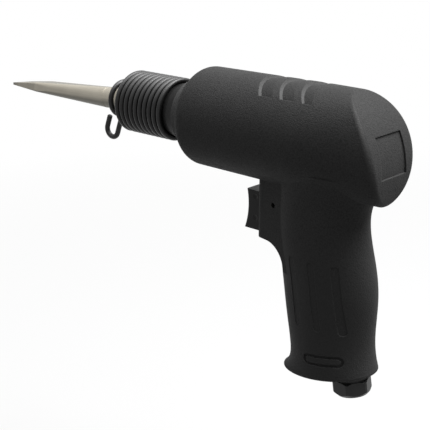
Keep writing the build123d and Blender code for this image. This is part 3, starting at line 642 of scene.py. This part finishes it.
def helix(start, run, side, radius, turns):
    """Points of a helix whose axis runs from a start along a vector, first at a side of that axis."""
    other = run.normalized().cross(side)
    count = round(turns * small_points_per_turn)
    points = []
    for number in range(count + 1):
        share = number / count
        angle = 2 * pi * turns * share
        points.append(start + run * share + (side * cos(angle) + other * sin(angle)) * radius)
    return points


def throttle_route(low, high):
    """Middle line of the throttle spring, between the corners of its box."""
    middle = (low + high) / 2
    start = Vector((low.x + throttle_wire / 2, middle.y, middle.z))
    run = Vector((high.x - low.x - throttle_wire, 0, 0))
    radius = (high.y - low.y - throttle_wire) / 2
    return helix(start, run, Vector(leftward), radius, throttle_turns)


def thread_route():
    """Middle line of the thread's ridge in the air inlet."""
    along = Vector((sin(inlet_lean), 0, cos(inlet_lean)))
    side = Vector((cos(inlet_lean), 0, -sin(inlet_lean)))
    length = thread_end - thread_start
    return helix(along * thread_start, along * length, side, inlet_bore_radius, length / thread_pitch)


def wire_tree():
    """Geometry nodes that sweep a round wire along a line of edges."""
    tree = bpy.data.node_groups.new("wire_along_path", "GeometryNodeTree")
    ways = tree.interface
    ways.new_socket("Path", in_out="INPUT", socket_type="NodeSocketGeometry")
    ways.new_socket("Wire radius", in_out="INPUT", socket_type="NodeSocketFloat")
    ways.new_socket("End radius", in_out="INPUT", socket_type="NodeSocketFloat")
    ways.new_socket("Sides", in_out="INPUT", socket_type="NodeSocketInt")
    ways.new_socket("Skin", in_out="INPUT", socket_type="NodeSocketMaterial")
    ways.new_socket("Wire", in_out="OUTPUT", socket_type="NodeSocketGeometry")
    nodes = Nodes(tree)
    given = nodes.add("NodeGroupInput", output="Path")
    line = nodes.add("GeometryNodeMeshToCurve", sockets={0: given})
    section = nodes.add(
        "GeometryNodeCurvePrimitiveCircle",
        {"mode": "RADIUS"},
        {"Resolution": given.other("Sides"), "Radius": given.other("Wire radius")},
    )
    at_end = nodes.add("GeometryNodeCurveEndpointSelection", sockets={"Start Size": 1, "End Size": 1})
    width = 1 - at_end * (1 - given.other("End radius") / given.other("Wire radius"))
    sweep = {"Curve": line, "Profile Curve": section, "Scale": width, "Fill Caps": True}
    swept = nodes.add("GeometryNodeCurveToMesh", sockets=sweep)
    smooth = nodes.add("GeometryNodeSetShadeSmooth", sockets={"Geometry": swept, "Shade Smooth": True})
    whole = nodes.add("GeometryNodeRealizeInstances", sockets={0: smooth})
    skin = {"Geometry": whole, "Material": given.other("Skin")}
    nodes.add("NodeGroupOutput", sockets={0: nodes.add("GeometryNodeSetMaterial", sockets=skin)})
    return tree


wire_along_path = wire_tree()


def wind(name, route, wire, sides, material):
    """A wire of a diameter along a route, with broken edges at its cut ends, as one plain mesh."""
    first = (route[1] - route[0]).normalized() * wire_end_round
    last = (route[-2] - route[-1]).normalized() * wire_end_round
    route = [route[0], route[0] + first] + route[1:-1] + [route[-1] + last, route[-1]]
    path = bpy.data.meshes.new(name + "_path")
    path.from_pydata(route, [(n, n + 1) for n in range(len(route) - 1)], [])
    piece = bpy.data.objects.new(name, path)
    bpy.context.scene.collection.objects.link(piece)
    winding = piece.modifiers.new("winding", "NODES")
    winding.node_group = wire_along_path
    values = {
        "Wire radius": wire / 2,
        "End radius": wire / 2 - wire_end_round,
        "Sides": sides,
        "Skin": material,
    }
    for item in wire_along_path.interface.items_tree:
        if item.name in values:
            winding[item.identifier] = values[item.name]
    bpy.context.view_layer.update()
    shown = piece.evaluated_get(bpy.context.evaluated_depsgraph_get())
    mesh = bpy.data.meshes.new_from_object(shown)
    piece.modifiers.remove(winding)
    piece.data = mesh
    mesh.name = name
    return piece


retainer = wind("retainer_spring_wound", spring_route(), spring_wire, spring_wire_sides, spring_skin)
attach(retainer, "tool_body")
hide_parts("retainer_spring")

low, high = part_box("throttle_spring")
route = throttle_route(low, high)
returning = wind("throttle_spring_wound", route, throttle_wire, throttle_wire_sides, spring_steel)
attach(returning, "tool_body")
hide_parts("throttle_spring")
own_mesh(returning)

thread = wind("inlet_thread", thread_route(), thread_wire, thread_sides, inlet_skin)
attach(thread, "tool_body")


# Studio: white surroundings, pale floor, soft lamps and the photograph's camera


def seen_directly(nodes):
    """1 for rays from the camera, or by reflection or through glass, and 0 for plain light."""
    path = nodes.add("ShaderNodeLightPath", output="Is Camera Ray")
    seen = path + path.other("Is Glossy Ray") + path.other("Is Transmission Ray")
    return seen.math("MINIMUM", seen, 1.0)


def white_surroundings():
    """World that looks white and lights softly."""
    world = bpy.data.worlds.new("surroundings")
    bpy.context.scene.world = world
    world.use_nodes = True
    nodes = Nodes(world.node_tree)
    background = world.node_tree.nodes["Background"]
    nodes.feed(background.inputs["Color"], white)
    strength = surround_level + seen_directly(nodes) * (1 - surround_level)
    nodes.feed(background.inputs["Strength"], strength)


def floor_skin():
    """Paint that looks white far off, keeps a soft shadow near the part and lights it little."""
    finish = Finish("floor_paint")
    seen = seen_directly(finish)
    finish.set(Base_Color=finish.mix(seen, floor_bounce, floor_paint), Roughness=0.9)
    away = finish.between(finish.measure("LENGTH", finish.place), floor_near, floor_far)
    share = seen * (floor_white + away * (1 - floor_white))
    painted = Output(finish, finish.shader.outputs[0])
    plain = finish.add("ShaderNodeEmission", sockets={"Color": white, "Strength": 1.0})
    both = finish.add("ShaderNodeMixShader", sockets={0: share, 1: painted, 2: plain})
    finish.feed(finish.tree.nodes["Material Output"].inputs["Surface"], both)
    return finish.material


def pale_floor():
    """Square floor under the part."""
    half = floor_size / 2
    corners = [(-half, -half), (half, -half), (half, half), (-half, half)]
    mesh = bpy.data.meshes.new("floor")
    mesh.from_pydata([(x, y, -floor_drop) for x, y in corners], [], [(0, 1, 2, 3)])
    mesh.materials.append(floor_skin())
    floor = bpy.data.objects.new("floor", mesh)
    bpy.context.scene.collection.objects.link(floor)


def soft_lamp(name, direction, size, power):
    """Square lamp that shines on the middle of the part from a direction."""
    middle = (cad_box[0] + cad_box[1]) / 2
    lamp = bpy.data.lights.new(name, "AREA")
    lamp.size = size
    lamp.energy = power
    holder = bpy.data.objects.new(name, lamp)
    outward = Vector(direction).normalized()
    holder.location = middle + outward * lamp_distance
    holder.rotation_euler = (-outward).to_track_quat("-Z", "Y").to_euler()
    bpy.context.scene.collection.objects.link(holder)


def photo_camera():
    """Camera at the photograph's place and angle."""
    camera = bpy.data.cameras.new("photo_camera")
    camera.sensor_width = sensor_width
    camera.lens = sensor_width * focal_length / photo_side
    holder = bpy.data.objects.new("photo_camera", camera)
    holder.location = camera_place
    holder.rotation_euler = camera_aim.to_track_quat("-Z", "Y").to_euler()
    bpy.context.scene.collection.objects.link(holder)
    bpy.context.scene.camera = holder


white_surroundings()
pale_floor()
soft_lamp("key_lamp", direction=(-0.44, -0.35, 0.84), size=0.6, power=13)
soft_lamp("top_lamp", direction=(-0.05, 0.05, 1.0), size=0.8, power=5)
photo_camera()
bpy.context.scene.view_settings.view_transform = "Standard"
